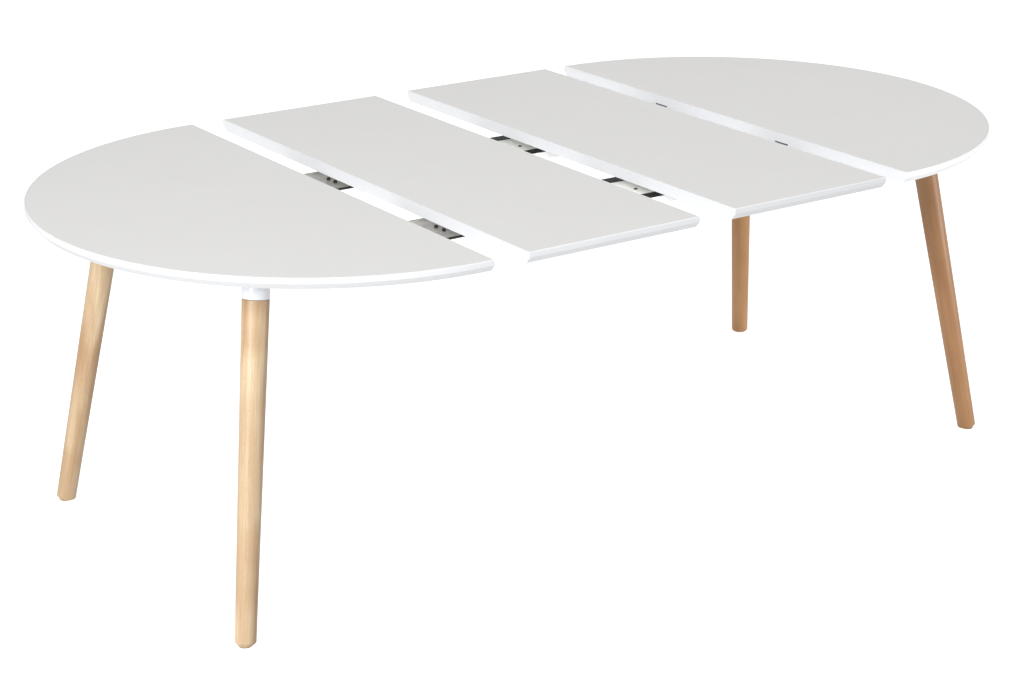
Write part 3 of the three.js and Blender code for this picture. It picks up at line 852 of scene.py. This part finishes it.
# Place, what it looks at, width, height, watts, colour.
LAMPS = {
    "key": ((-4.7, -3.0, 3.6), (0, 0, 0.6), 2.4, 2.2, 270, (0.98, 0.99, 1.0)),
    "overhead": ((0.9, 0.4, 4.6), (0.9, 0, 0.7), 4.6, 3.6, 60, PLAIN),
    "right_overhead": ((2.6, 0.4, 3.0), (1.2, 0, 0.73), 1.4, 1.4, 7.5, PLAIN),
    "tray_fill": ((-1.1, -1.2, 1.1), (-0.40, 0, 0.67), 0.6, 0.3, 14, PLAIN),
    "plate_fill": ((-0.6, -0.8, 1.1), (0.10, 0, 0.67), 0.6, 0.3, 14, PLAIN),
    "front": ((-3.8, -1.5, 1.2), (-0.9, 0, 0.35), 1.0, 1.6, 56, (0.89, 0.96, 1.0)),
    "side": ((2.5, -2.3, 0.7), (0.8, 0, 0.35), 1.0, 1.0, 36, PLAIN),
}
CAMERA_PLACE = (-2.626, -3.710, 1.939)
CAMERA_HEADING = 34.67      # degrees from +Y towards +X
CAMERA_DIP = 19.86          # degrees below level
CAMERA_LENS = 76.9          # millimetres, on a sensor this wide
SENSOR_WIDTH = 36.0
SIGHT = 200.0               # how far the camera sees, past the floor's far corner


def studio_floor():
    floor = made("studio_floor", box((-FLOOR_REACH, -FLOOR_REACH, -FLOOR_THICKNESS),
                                     (FLOOR_REACH, FLOOR_REACH, 0.0)))
    material = bpy.data.materials.new("studio_floor")
    material.use_nodes = True
    tree = material.node_tree
    shader = tree.nodes["Principled BSDF"]
    shader.inputs["Base Color"].default_value = FLOOR_GREY
    shader.inputs["Roughness"].default_value = 0.9
    shader.inputs["Specular IOR Level"].default_value = 0.0
    shader.inputs["Emission Color"].default_value = (*PLAIN, 1.0)
    path = put(tree, "ShaderNodeLightPath")
    wire(tree, (spread(tree, path.outputs["Is Camera Ray"], FLOOR_BOUNCE, FLOOR_GLOW),
                shader.inputs["Emission Strength"]))
    floor.data.materials.append(material)


def looking(thing, place_at, ahead):
    """Stands a lamp or the camera somewhere, looking one way."""
    thing.location = place_at
    thing.rotation_mode = "QUATERNION"
    thing.rotation_quaternion = ahead.to_track_quat("-Z", "Y")
    bpy.context.scene.collection.objects.link(thing)


def softbox(name, place_at, look_at, width, height, power, colour):
    light = bpy.data.lights.new(name, "AREA")
    light.shape = "RECTANGLE"
    light.size = width
    light.size_y = height
    light.energy = power
    light.color = colour
    lamp = bpy.data.objects.new(name, light)
    looking(lamp, place_at, Vector(look_at) - Vector(place_at))
    return lamp


def aimed(lamp, things):
    """Lets a lamp light only the given pieces."""
    lit = bpy.data.collections.new(f"lit_by_{lamp.name}")
    for thing in things:
        lit.objects.link(thing)
    lamp.light_linking.receiver_collection = lit


def studio_light(reflectors):
    """The white surroundings and the lamps. reflectors: the pieces that a lamp lights alone."""
    world = bpy.data.worlds.new("studio")
    bpy.context.scene.world = world
    world.use_nodes = True
    sky = world.node_tree.nodes["Background"]
    sky.inputs["Color"].default_value = (*PLAIN, 1.0)
    sky.inputs["Strength"].default_value = SKY
    for name, look in LAMPS.items():
        lamp = softbox(name, *look)
        if name in reflectors:
            aimed(lamp, reflectors[name])
    bpy.context.scene.view_settings.view_transform = "Standard"


def camera():
    eye = bpy.data.cameras.new("camera")
    eye.lens = CAMERA_LENS
    eye.sensor_width = SENSOR_WIDTH
    eye.clip_end = SIGHT
    stand = bpy.data.objects.new("camera", eye)
    heading, dip = math.radians(CAMERA_HEADING), math.radians(CAMERA_DIP)
    looking(stand, CAMERA_PLACE, Vector((
        math.sin(heading) * math.cos(dip), math.cos(heading) * math.cos(dip), -math.sin(dip))))
    bpy.context.scene.camera = stand


left_slides = [frame["nodes"][f"left_{where}_slide"] for where in SIDES]
runner_steel = [frame["nodes"][f"{where}_centre_plate"] for where in SIDES]
runner_steel += [frame["nodes"][f"{where}_{edge}_guide_rail"]
                 for where in SIDES for edge in ("outer", "inner")]
studio_floor()
studio_light({
    "tray_fill": left_slides,
    "plate_fill": runner_steel,
    "front": left_legs,
    "side": [*right_legs, right_board],
})
camera()
